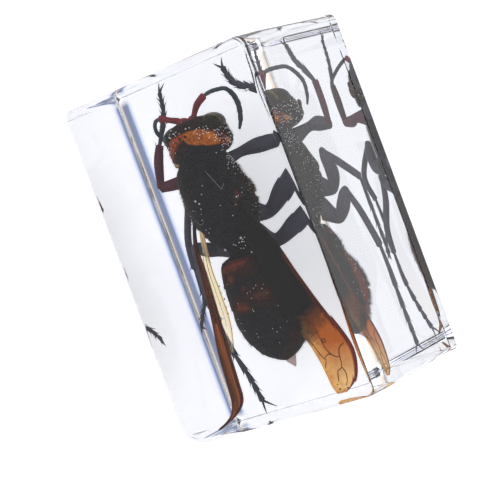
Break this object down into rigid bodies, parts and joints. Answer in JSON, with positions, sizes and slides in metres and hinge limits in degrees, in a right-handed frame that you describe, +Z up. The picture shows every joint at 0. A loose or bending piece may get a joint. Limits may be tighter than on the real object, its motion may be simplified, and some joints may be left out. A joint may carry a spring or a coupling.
{
  "type": "insect in resin block",
  "caption": "Large dark wasp with amber wings cast in a clear rectangular resin block with softened edges, lying on its flat back face.",
  "frame": {"origin": "centre of the block's flat back face, which it rests on", "axes": "+Z up through the block's thickness, from the rest face towards the wasp's back; +Y along the block's length, towards the wasp's head; +X towards the wasp's right side"},
  "size_m": [0.028, 0.043, 0.021],
  "materials": {
    "clear_resin": "polished clear casting resin",
    "dark_chitin": "black and orange insect shell with a soft sheen"
  },
  "bodies": {
    "root": {"resin_upper_half": "clear_resin", "resin_lower_half": "clear_resin", "wasp": "dark_chitin"}
  },
  "joints": []
}
